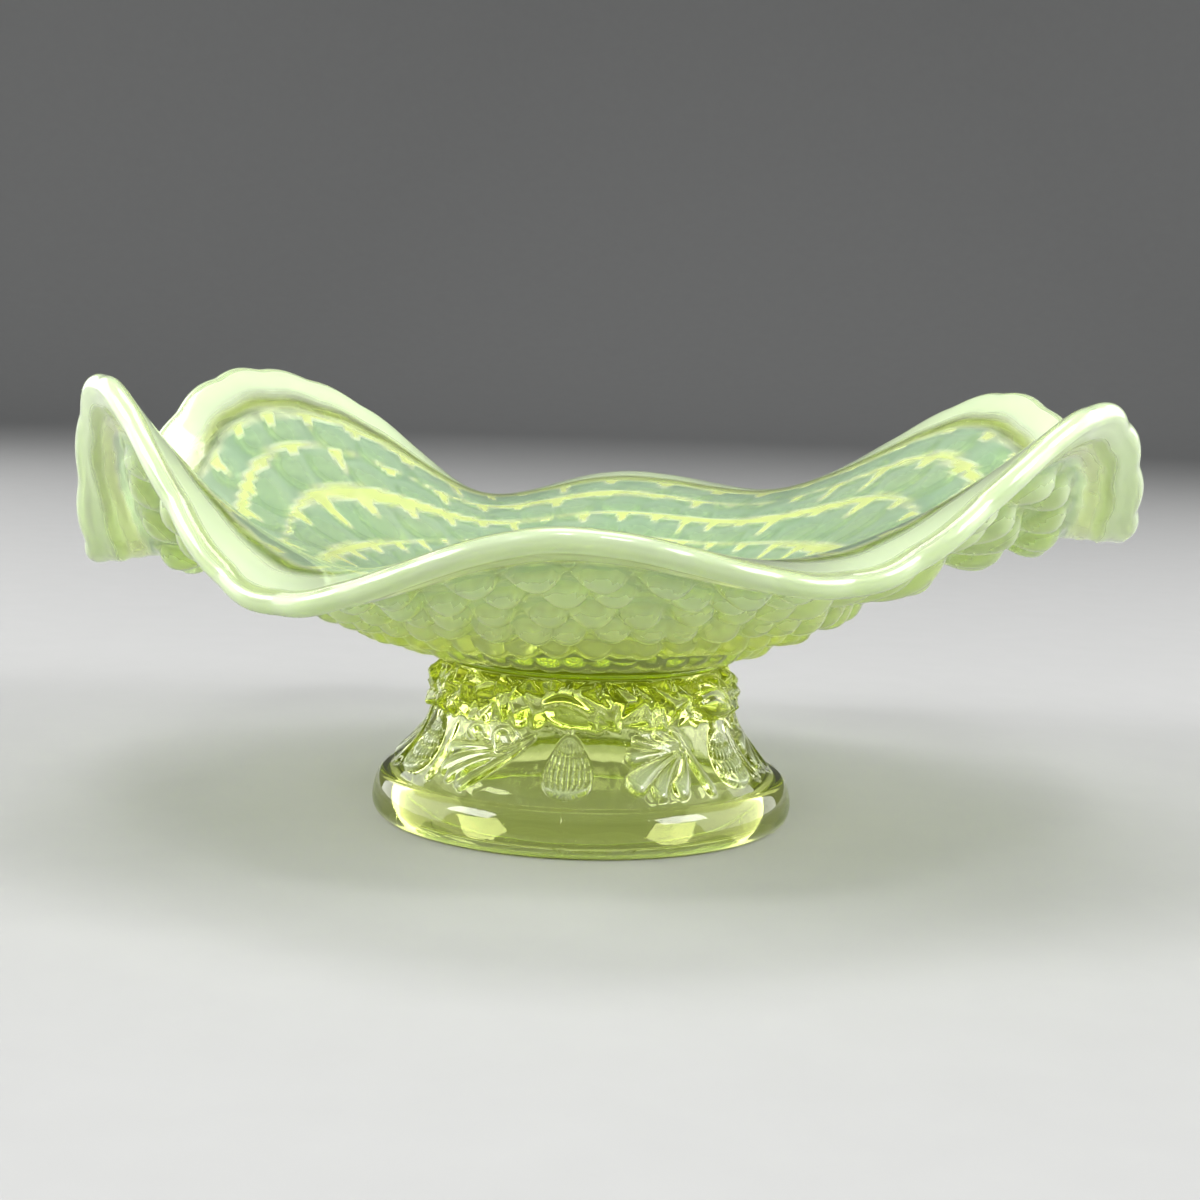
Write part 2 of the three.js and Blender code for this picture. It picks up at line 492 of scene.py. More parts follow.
@dataclass
class BossRings:
    """Rounded, overlapping bosses in rings on the outside of the bowl, in the bowl's flat, unruffled state.

    Attributes:
        count: Bosses in each ring.
        centres: Distance of each ring from the neck.
        heights: How far each ring's bosses stand out.
        half_width: Half a boss's width along the ring.
        inner_half: Half length towards the neck, where it rises slowly.
        outer_half: Half length towards the rim, where it drops steeply.
        tilt: How much of its height a boss gains across its width, so that it laps over its neighbour.
        unevenness: Share by which places and sizes vary.
        seed: Seed of that variation.
        wanders: Waves in a turn, and size, of the cells' drift along their ring.
        stub_reach: Range of how far the clear stubs reach in from a cell's outer side.
        ring_wave: How far a ring of cells swings in and out.
    """

    count: int = 48
    centres: tuple[float, ...] = (0.5, 10.0, 20.5, 32.0, 44.5, 57.5, 70.0)
    heights: tuple[float, ...] = (1.6, 3.0, 3.6, 4.0, 4.3, 4.4, 4.0)
    half_width: float = 5.9
    inner_half: float = 7.4
    outer_half: float = 4.8
    tilt: float = 0.22
    unevenness: float = 0.09
    seed: int = 11
    wanders: tuple[tuple[float, float], ...] = ((3.0, 0.22), (7.0, 0.14))
    stub_reach: tuple[float, float] = (-0.9, 0.5)
    ring_wave: float = 0.9

    def relief(self, turn: Array, distance: Array, neck_radius: float) -> Array:
        """Height of the bosses over the bowl's outer face.

        Args:
            turn: Share of a full turn.
            distance: Flat distance from the neck.
            neck_radius: Radius where that distance is 0.

        Returns:
            Heights in millimetres.
        """
        draws = np.random.default_rng(self.seed)
        height = np.zeros(np.broadcast(turn, distance).shape)
        for ring, (centre, full) in enumerate(zip(self.centres, self.heights)):
            pitch = TURN * (neck_radius + centre) / self.count
            aside, along, size = draws.normal(0.0, self.unevenness, (3, self.count))
            phase = turn * self.count + 0.5 * (ring % 2)
            nearest = np.floor(phase)
            for shift in (-1, 0, 1):
                which = (nearest + shift).astype(int) % self.count
                across = (phase - nearest - shift - 0.5 - aside[which]) * pitch
                outward = distance - centre - along[which] * self.outer_half
                grown = 1.0 + size[which]
                half = np.where(outward < 0.0, self.inner_half, self.outer_half)
                spread = (across / self.half_width) ** 2 + (outward / half) ** 2
                dome = full * grown * np.clip(1.0 - spread / grown, 0.0, None)
                lapped = dome * (1.0 + self.tilt * across / self.half_width)
                height = np.maximum(height, lapped)
        return height

    def cells(self, turn: Array, distance: Array) -> Array:
        """Where the milk lies over the bosses: rings of cells, with short clear stubs between neighbours.

        Args:
            turn: Share of a full turn.
            distance: Flat distance from the neck.

        Returns:
            1 over a boss, 0 over the lines between them.
        """
        draws = np.random.default_rng(self.seed)
        inside = np.full(np.broadcast(turn, distance).shape, -1.0)
        half = (self.inner_half + self.outer_half) / 2.0
        for ring, centre in enumerate(self.centres):
            reaches = draws.uniform(*self.stub_reach, self.count)
            middle = centre - (self.inner_half - self.outer_half) / 2.0
            (slow, wide), (fast, narrow) = self.wanders
            drift = wide * np.sin(slow * TURN * turn + 2.0 * ring)
            drift = drift + narrow * np.sin(fast * TURN * turn + ring)
            place = turn * self.count + 0.5 * (ring % 2) - 0.5 + drift
            reach = reaches[np.floor(place).astype(int) % self.count]
            wave = self.ring_wave * np.sin(5.0 * TURN * turn + 3.0 * ring)
            outward = (distance - middle - wave) / half
            stub = smooth_step(0.3, 0.46, np.abs(wrapped(place, 1.0)))
            stub = stub * smooth_step(reach, reach + 0.8, outward)
            inside = np.maximum(inside, 1.0 - outward**2 - 0.95 * stub)
        return smooth_step(0.1, 0.42, inside)


@dataclass
class RuffledBowl:
    """The bowl: a shallow cone whose rim is worked into six ruffles, smooth inside and bossed outside.

    Attributes:
        neck_radius: Radius of the flat underside.
        floor_radius: Radius of the flat floor inside.
        reach: Reach of the tallest ruffles.
        slope: Rise per millimetre outward.
        slope_lean: How much steeper it rises towards +X, and flatter towards -X.
        lean: How far the rim sits towards +X.
        neck_wall: Wall at the neck.
        lip_wall: Wall at the lip.
        ruffle_start: Distance from the neck where the ruffles begin.
        ruffle_power: How suddenly they grow.
        scallops: Small waves along the rim's edge.
        scallop_depth: Depth of those waves.
        lip_band: Width of the smooth milky band at the lip.
        lip_lines: Distances from the edge between which the clear, the lime and the cool line lie: painted
            shade and light under the lip, a clear line where the lip's shadow falls, then a bright lime line
            and a dark blue-green line over the mouldings.
        lip_beads: Distance from the edge, height and half width of each low bead under the lip.
        veil: How milky the inner face is over a boss, where the milk is darkened to blue-green as painted
            shade.
        painted_light_line_milk: How milky the inner face is over the valleys between the bosses, in bright
            lime milk: painted light where light shines through the clear valleys.
        haze: How milky the outer face is away from the neck, even between bosses.
        neck_veil: How milky the outer face is at the neck, where the milk is lime.
        bosses: The bosses outside.
        stations: Crests and troughs of the rim.
        columns: Columns of the mesh, a multiple of the bosses in a ring.
        outer_rows: Rings of the mesh outside.
        lip_rows: Rings of the mesh round the lip.
        inner_rows: Rings of the mesh inside.
    """

    neck_radius: float = 33.0
    floor_radius: float = 24.0
    reach: float = 125.0
    slope: float = 0.46
    slope_lean: float = 0.07
    lean: float = 3.5
    neck_wall: float = 6.0
    lip_wall: float = 4.8
    ruffle_start: float = 24.0
    ruffle_power: float = 2.6
    scallops: int = 48
    scallop_depth: float = 1.0
    lip_band: float = 11.0
    lip_lines: tuple[float, ...] = (7.6, 10.0, 14.4, 17.0)
    lip_beads: tuple[tuple[float, float, float], ...] = ((6.8, 0.7, 1.5), (11.0, 0.4, 1.3))
    veil: float = 0.66
    painted_light_line_milk: float = 0.85
    haze: float = 0.6
    neck_veil: float = 0.4
    bosses: BossRings = field(default_factory=BossRings)
    stations: tuple[RimStation, ...] = RIM_STATIONS
    columns: int = 672
    outer_rows: int = 76
    lip_rows: int = 8
    inner_rows: int = 58

    def __post_init__(self) -> None:
        """Take the bowl's place from the frame and fit the rim's curve."""
        low, high = node_span(Node.FOOT)
        self.axis = (low + high)[:2] / 2.0
        self.base = node_span(Node.BOWL)[0][2]
        self.flat_reach = self.reach - self.neck_radius
        places = np.array([station.direction / 360.0 for station in self.stations])
        self.rim_inset = RoundCurve(places, np.array([station.inset for station in self.stations]))
        self.rim_rise = RoundCurve(places, np.array([station.rise for station in self.stations]))

    def rim(self, turn: Array) -> Array:
        """Points of the rim's edge line.

        Args:
            turn: Share of a full turn.

        Returns:
            The points.
        """
        points = polar(self.reach - self.rim_inset(turn), turn, self.base + self.rim_rise(turn))
        points[..., 0] += self.lean
        return points

    def face(self, turn: Array, travel: Array) -> Array:
        """Points of the outer face without its relief.

        Args:
            turn: Share of a full turn.
            travel: 0 at the neck, 1 at the rim.

        Returns:
            The points.
        """
        turn, travel = np.broadcast_arrays(turn, travel)
        neck = polar(self.neck_radius, turn, self.base)
        edge = self.rim(turn)
        reach = np.hypot(*(edge - neck)[..., :2].transpose(-1, *range(turn.ndim)))
        rise = (self.slope + self.slope_lean * np.cos(turn * TURN)) * reach
        lift = edge[..., 2] - self.base - rise
        out = np.clip(travel * reach - self.ruffle_start, 0.0, None) / (reach - self.ruffle_start)
        points = neck + (edge - neck) * travel[..., None]
        points[..., 2] = self.base + rise * travel + lift * out**self.ruffle_power
        return points

    def directions(self, turn: Array, travel: Array) -> tuple[Array, Array]:
        """Directions at points of the outer face.

        Args:
            turn: Share of a full turn.
            travel: 0 at the neck, 1 at the rim.

        Returns:
            Unit vectors towards the rim, and through the wall to the inner face.
        """
        step = 0.002
        along = unit(self.face(turn, travel + step) - self.face(turn, travel - step))
        across = self.face(turn + step, travel) - self.face(turn - step, travel)
        return along, unit(np.cross(along, across))

    def wall(self, travel: Array) -> Array:
        """Thickness of the wall.

        Args:
            travel: 0 at the neck, 1 at the rim.

        Returns:
            The thickness.
        """
        return self.neck_wall + (self.lip_wall - self.neck_wall) * np.clip(travel, 0.0, 1.0)

    def mould_distance(self, turn: Array, travel: Array) -> tuple[Array, Array]:
        """Measure along the outer face, and find where each point lay in the mould, before the ruffles.

        The ruffling keeps the glass near the neck and near the rim as it was, and stretches the rest.

        Args:
            turn: Share of a full turn at each column.
            travel: 0 at the neck, 1 at the rim, at each row.

        Returns:
            Distance from the neck in the mould, and distance from the rim's edge, by row and column.
        """
        fine = np.linspace(0.0, 1.0, 120)
        points = self.face(turn[None, :], fine[:, None])
        steps = np.linalg.norm(np.diff(points, axis=0), axis=-1)
        arc = np.concatenate([np.zeros((1, turn.size)), np.cumsum(steps, axis=0)])
        place = travel * (fine.size - 1)
        low = np.clip(place.astype(int), 0, fine.size - 2)
        share = (place - low)[:, None]
        along = arc[low] * (1.0 - share) + arc[low + 1] * share
        whole = arc[-1]
        kept = smooth_step(0.25, 0.75, along / whole)
        return along + (self.flat_reach - whole) * kept, whole - along

    def edge_wave(self, turn: Array) -> Array:
        """How far the scallops push the rim's edge outward.

        Args:
            turn: Share of a full turn.

        Returns:
            The push in millimetres.
        """
        return self.scallop_depth * (np.sqrt(np.cos(math.pi * self.scallops * turn) ** 2 + 0.03) - 0.65)

    def mouldings(self, from_edge: Array) -> Array:
        """Two low rounded bands that run round the outside below the lip.

        Args:
            from_edge: Distance from the rim's edge.

        Returns:
            Heights in millimetres.
        """
        return sum(rise * np.exp(-(((from_edge - at) / half) ** 2)) for at, rise, half in self.lip_beads)

    def outer_rings(self, turn: Array) -> tuple[Array, Array, Array]:
        """The outer face from the neck to the lip.

        Args:
            turn: Share of a full turn at each column.

        Returns:
            Its rings, and how milky and how cool each point is.
        """
        last = 1.0 - self.lip_wall / 2.0 / self.flat_reach
        rows = np.linspace(0.0, last, self.outer_rows)
        travel = rows[:, None]
        turns = np.broadcast_to(turn, (self.outer_rows, turn.size))
        distance, from_edge = self.mould_distance(turn, rows)
        boss = self.bosses.relief(turns, distance, self.neck_radius)
        neck_fade = smooth_step(0.0, 2.0, distance)
        raised = boss * neck_fade + self.mouldings(from_edge)
        along, inward = self.directions(turns, np.broadcast_to(travel, turns.shape))
        wave = self.edge_wave(turns) * smooth_step(0.75, 1.0, travel)
        rings = self.face(turns, travel) - inward * raised[..., None] + along * wave[..., None]

        tip = smooth_step(0.4, 2.4, boss)
        bossy = tip * smooth_step(10.0, 40.0, distance) * 0.85
        band = smooth_step(self.lip_band + 6.0, self.lip_band - 4.0, from_edge)
        # Painted shade and light under the lip: milk taken away in a line where the lip's shadow falls, then
        # a lime line and a dark blue-green line over the low mouldings.
        clear_line, lime_line, cool_line = (
            smooth_step(start - 0.8, start + 0.4, from_edge) * smooth_step(end + 0.8, end - 0.4, from_edge)
            for start, end in zip(self.lip_lines, self.lip_lines[1:])
        )
        haze = self.haze * smooth_step(10.0, 40.0, distance)
        # Lime milk on the boss tips near the neck; further out the milk between the bosses leans to dark
        # blue-green, painted shade in the hollows between them.
        warmth = -0.45 * tip * smooth_step(70.0, 30.0, distance)
        cool = 0.4 * (1.0 - tip) * smooth_step(34.0, 60.0, distance) + warmth
        opal = np.maximum.reduce([bossy, band, haze, 0.8 * lime_line]) * (1.0 - 0.75 * clear_line)
        cool = cool * (1.0 - band) * (1.0 - lime_line) - 0.6 * lime_line + 0.7 * cool_line
        near = smooth_step(22.0, 4.0, distance)
        opal = np.maximum(opal, self.neck_veil * near)
        cool = cool * (1.0 - near) - near
        return rings, opal, np.clip(cool, -1.0, 1.0)

    def lip_rings(self, turn: Array) -> tuple[Array, Array, Array]:
        """The rounded edge of the lip, from the outer to the inner face, where it clears.

        Args:
            turn: Share of a full turn at each column.

        Returns:
            Its rings, and how milky and how cool each point is.
        """
        half = self.lip_wall / 2.0
        swing = np.linspace(0.0, math.pi, self.lip_rows + 2)[1:-1, None, None]
        travel = np.full_like(turn, 1.0 - half / self.flat_reach)
        along, inward = self.directions(turn, travel)
        start = self.face(turn, travel) + along * self.edge_wave(turn)[:, None]
        rings = start + inward * half * (1.0 - np.cos(swing)) + along * half * np.sin(swing)
        milk = smooth_step(math.pi * 1.05, math.pi * 0.66, swing[..., 0]) * np.ones(rings.shape[:2])
        return rings, milk, np.zeros(rings.shape[:2])

    def inner_rings(self, turn: Array) -> tuple[Array, Array, Array]:
        """The smooth inner face from the lip down to the floor, with a veil of milk over each boss, darkened
        to blue-green as painted shade, and bright lime milk over the valleys between, as painted light.

        Args:
            turn: Share of a full turn at each column.

        Returns:
            Its rings, and how milky and how cool each point is.
        """
        first = 1.0 - self.lip_wall / 2.0 / self.flat_reach
        rows = np.linspace(first, 0.04, self.inner_rows)
        travel = rows[:, None]
        turns = np.broadcast_to(turn, (self.inner_rows, turn.size))
        along, inward = self.directions(turns, np.broadcast_to(travel, turns.shape))
        wave = self.edge_wave(turns) * smooth_step(0.75, 1.0, travel)
        rings = self.face(turns, travel) + inward * self.wall(travel)[..., None] + along * wave[..., None]
        distance, from_edge = self.mould_distance(turn, rows)
        band = smooth_step(self.lip_band + 3.0, self.lip_band - 2.0, from_edge)
        band = band * smooth_step(1.6, 3.4, from_edge)
        inland = smooth_step(self.lip_band + 4.0, self.lip_band + 7.0, from_edge)
        inland = smooth_step(12.0, 26.0, distance) * inland
        # Painted light and shade: the valleys between the bosses get bright lime milk for the light that
        # shines through them, the cells over the bosses a dark blue-green milk for their shade.
        cells = self.bosses.cells(turns, distance)
        veil = cells * inland
        lines = (1.0 - cells) * inland
        floor_height = self.base + self.neck_wall
        floor = polar(np.array([self.floor_radius, self.floor_radius / 3.0])[:, None], turn, floor_height)
        clear = np.zeros((2, turn.size))
        milk = np.maximum.reduce([band, self.veil * veil, self.painted_light_line_milk * lines])
        hue = np.clip(veil - lines, -1.0, 1.0)
        return np.concatenate([rings, floor]), np.concatenate([milk, clear]), np.concatenate([hue, clear])

    def build(self, finish: UraniumGlass) -> bpy.types.Object:
        """Build the whole bowl.

        Args:
            finish: Its glass.

        Returns:
            The bowl.
        """
        turn = np.arange(self.columns) / self.columns
        base_r = np.array([self.neck_radius / 3.0, self.neck_radius * 0.8])[:, None]
        underside = polar(base_r, turn, self.base)
        clear = np.zeros((2, self.columns))
        parts = [(underside, clear, clear)]
        parts += [self.outer_rings(turn), self.lip_rings(turn), self.inner_rings(turn)]
        rings, opal, cool = (np.concatenate(layer) for layer in zip(*parts))
        rings[..., :2] += self.axis
        return Skin(rings, opal, cool).build("ruffled_bowl", Slot.BOWL, Node.BOWL, finish.material())


# ------------------------------------------------------------ joining wafer


@dataclass
class JoiningWafer:
    """The thin disc of glass between bowl and foot, its edge bulged where it was pressed hot.

    Attributes:
        unevenness: How far its edge wanders in and out.
        columns: Columns of the mesh.
        edge_rows: Rings of the mesh round its edge.
    """

    unevenness: float = 0.25
    columns: int = 360
    edge_rows: int = 14

    def build(self, finish: UraniumGlass) -> bpy.types.Object:
        """Build the wafer.

        Args:
            finish: Its glass.

        Returns:
            The wafer.
        """
        low, high = node_span(Node.WAFER)
        axis = (low + high)[:2] / 2.0
        half = (high[2] - low[2]) / 2.0
        radius = (high[0] - low[0]) / 2.0
        turn = np.arange(self.columns) / self.columns
        swell = sum(np.sin(TURN * turn * waves + waves) / waves for waves in (2, 3, 5, 9)) * self.unevenness
        swing = np.linspace(-math.pi / 2.0, math.pi / 2.0, self.edge_rows)[:, None]
        edge_r = radius - half + (half + swell) * np.cos(swing)
        edge = polar(edge_r, turn, low[2] + half + half * np.sin(swing))
        inner = np.array([radius * 0.35, radius * 0.8])[:, None]
        rings = np.concatenate([polar(inner, turn, low[2]), edge, polar(inner[::-1], turn, high[2])])
        rings[..., :2] += axis
        clear = np.zeros(rings.shape[:2])
        return Skin(rings, clear, clear).build("wafer", Slot.WAFER, Node.WAFER, finish.material())


# ------------------------------------------------------------ foot


@dataclass(frozen=True)
class CockleShell:
    """A ribbed cockle shell in low relief, its narrow end up, with a stalk above it.

    Attributes:
        length: From the hinge to the rounded lower edge.
        half_width: Half its greatest width.
        ribs: Ribs that fan out from the hinge.
        rise: Height of its middle.
        rib_depth: Depth of the grooves between ribs.
        band_depth: Depth of the growth lines.
        bands: Places of the growth lines, from 0 at the hinge to 1 at the lower edge.
        stalk_length: Length of the stalk.
    """

    length: float = 12.6
    half_width: float = 5.9
    ribs: int = 9
    rise: float = 1.7
    rib_depth: float = 0.9
    band_depth: float = 0.6
    bands: tuple[float, ...] = (0.36, 0.58, 0.8)
    stalk_length: float = 3.2

    def relief(self, across: Array, up: Array) -> Array:
        """Height of the shell over the skirt.

        Args:
            across: Distance to the right of the shell's middle.
            up: Distance above the shell's lowest point.

        Returns:
            Heights in millimetres.
        """
        down = np.clip(1.0 - up / self.length, 0.0, 1.0)
        half = 1.3 * self.half_width * down**0.6 * np.sqrt(1.0 - down**5) + 0.05
        aside = np.abs(across) / half
        inside = smooth_step(1.0, 0.86, aside) * smooth_step(0.0, 0.05, down) * (down < 1.0)
        dome = self.rise * (1.0 - 0.3 * np.minimum(aside, 1.0) ** 2) * (0.75 + 0.25 * down)
        bowed = down + 0.1 * aside**2
        groove = smooth_step(0.3, 1.0, np.abs(np.sin(math.pi * self.ribs * aside / 2.0)))
        groove = self.rib_depth * groove * smooth_step(0.08, 0.25, down) * smooth_step(0.95, 0.88, bowed)
        line = self.band_depth * sum(np.exp(-(((bowed - band) / 0.028) ** 2)) for band in self.bands)
        above = up - self.length
        stalk = 0.7 * smooth_step(0.7, 0.25, np.abs(across)) * smooth_step(-0.8, 0.0, above)
        stalk = stalk * smooth_step(self.stalk_length, self.stalk_length - 0.8, above)
        return np.maximum(inside * np.clip(dome - groove - line, 0.0, None), stalk)


@dataclass(frozen=True)
class Stroke:
    """A rounded finger of seaweed along a bent line.

    Attributes:
        start: Where it leaves the stem, to the right and up.
        bend: Point that pulls its middle aside.
        end: Its tip.
        start_half: Half width at the start.
        end_half: Half width at the tip.
    """

    start: tuple[float, float]
    bend: tuple[float, float]
    end: tuple[float, float]
    start_half: float
    end_half: float

    def relief(self, across: Array, up: Array) -> Array:
        """Height of the finger.

        Args:
            across: Distance to the right of the spray's middle.
            up: Distance above the spray's middle.

        Returns:
            Heights in millimetres.
        """
        height = np.zeros(np.broadcast(across, up).shape)
        for share in np.linspace(0.0, 1.0, 22):
            here = [
                a * (1 - share) ** 2 + 2 * b * share * (1 - share) + c * share**2
                for a, b, c in zip(self.start, self.bend, self.end)
            ]
            half = self.start_half + (self.end_half - self.start_half) * share
            distance = np.hypot(across - here[0], up - here[1])
            height = np.maximum(height, half * np.sqrt(np.clip(1.0 - (distance / half) ** 2, 0.0, None)))
        return height


RIGHT_SPRAY = (
    Stroke((7.0, 3.2), (0.5, 1.4), (-6.3, -2.8), 0.6, 2.3),
    Stroke((6.6, 2.4), (2.4, 0.4), (-1.5, -4.4), 0.6, 2.0),
    Stroke((7.2, 2.0), (6.6, -2.0), (3.9, -4.2), 0.8, 2.1),
    Stroke((6.6, 3.6), (0.5, 3.0), (-5.4, 2.3), 0.5, 1.8),
    Stroke((6.4, 4.4), (2.0, 3.8), (-3.8, 5.6), 0.8, 1.2),
    Stroke((6.6, 4.8), (3.4, 5.0), (1.2, 7.0), 0.8, 1.3),
    Stroke((7.2, 3.8), (7.4, 5.2), (5.4, 7.2), 1.0, 1.1),
    Stroke((7.6, 4.6), (9.4, 1.0), (12.2, -4.8), 0.7, 1.6),
)
LEFT_SPRAY = (
    Stroke((10.6, 6.2), (7.0, 2.0), (3.4, -0.4), 0.5, 1.1),
    Stroke((3.4, -0.4), (0.4, -3.0), (-2.2, -5.0), 1.1, 1.4),
    Stroke((-2.2, -5.0), (-5.4, -4.4), (-3.0, -1.6), 1.2, 0.9),
    Stroke((4.0, 1.2), (-1.0, 0.8), (-6.8, -3.8), 0.8, 1.5),
    Stroke((3.0, 2.0), (-3.0, 1.6), (-9.4, -2.4), 0.8, 1.7),
    Stroke((2.0, 2.8), (-3.6, 2.8), (-9.8, 1.2), 0.8, 1.9),
    Stroke((3.4, 2.6), (-3.4, 3.0), (-6.4, 5.8), 0.8, 1.1),
    Stroke((-6.4, 5.8), (-3.6, 8.6), (-1.4, 5.6), 1.1, 0.8),
    Stroke((4.0, 2.6), (0.8, 3.6), (1.2, 6.2), 0.8, 0.9),
    Stroke((1.2, 6.2), (3.8, 8.4), (5.4, 5.2), 0.9, 0.7),
    Stroke((9.6, 5.6), (6.0, 3.4), (3.0, 2.4), 0.5, 1.0),
    Stroke((-11.6, 6.2), (-12.4, 1.0), (-13.6, -4.6), 0.7, 1.4),
)


@dataclass(frozen=True)
class SeaSnail:
    """A smooth sea snail lying on the rockwork: a round body drawn out to a point at the lower right.

    Attributes:
        length: From its round end to its point.
        half_height: Half the height of the body.
        droop: How far the point lies below the body's middle.
        rise: Height of the body.
        groove: Depth of the groove that winds along it.
    """

    length: float = 18.0
    half_height: float = 5.3
    droop: float = 3.6
    rise: float = 3.2
    groove: float = 0.35

    def relief(self, across: Array, up: Array) -> Array:
        """Height of the snail over the stem.

        Args:
            across: Distance to the right of the body's middle.
            up: Distance above the body's middle.

        Returns:
            Heights in millimetres.
        """
        share = np.clip((across + self.length * 0.38) / self.length, 0.0, 1.0)
        middle = -self.droop * share**2.2
        half = self.half_height * 1.9 * np.sqrt(share) * (1.0 - share) ** 0.9 + 0.02
        inside = np.clip(1.0 - ((up - middle) / half) ** 2, 0.0, None)
        body = self.rise * np.sqrt(inside) * np.clip(half / self.half_height, 0.0, 1.0) ** 0.7
        from_line = up - middle - 0.25 * half * np.sin(share * 5.0)
        curl = self.groove * np.exp(-((from_line / 0.5) ** 2)) * (body > 0.4)
        return np.where((share > 0.0) & (share < 1.0), body - curl, 0.0)


@dataclass(frozen=True)
class Rockwork:
    """Sharp little crags with grainy patches between them.

    Attributes:
        pitch: Usual distance between crags.
        rise: Height of the tallest.
        steepness: Slope of their faces.
        grain: Height of the grainy patches.
        seed: Seed of their places.
    """

    pitch: float = 4.4
    rise: float = 2.4
    steepness: float = 1.0
    grain: float = 0.14
    seed: int = 5

    def relief(self, along: Array, up: Array, length: float, span: float) -> Array:
        """Height of the rockwork round the stem.

        Args:
            along: Distance round the stem.
            up: Distance above the band's lower edge.
            length: Distance right round.
            span: Height of the band.

        Returns:
            Heights in millimetres.
        """
        draws = np.random.default_rng(self.seed)
        height = np.zeros(np.broadcast(along, up).shape)
        rows = max(2, round(span / self.pitch))
        columns = round(length / self.pitch)
        for row in range(rows):
            for column in range(columns):
                shift_x, shift_y, turn, tall = draws.uniform(-0.4, 0.4, 4)
                across = wrapped(along - (column + 0.5 * (row % 2) + shift_x) * self.pitch, length)
                rise = up - (row + 0.5 + shift_y) * span / rows
                angles = turn * TURN + np.arange(3) * TURN / 3.0
                slopes = [across * math.cos(a) + rise * math.sin(a) for a in angles]
                crag = self.rise * (1.0 + tall) - self.steepness * np.maximum.reduce(slopes)
                height = np.maximum(height, crag)
        patch = np.sin(along * 0.9 + 2.0 * np.sin(up)) * np.cos(up * 0.8 + along * 0.35)
        rough = draws.normal(0.0, 1.0, height.shape) * smooth_step(0.15, 0.6, patch)
        return height + self.grain * rough


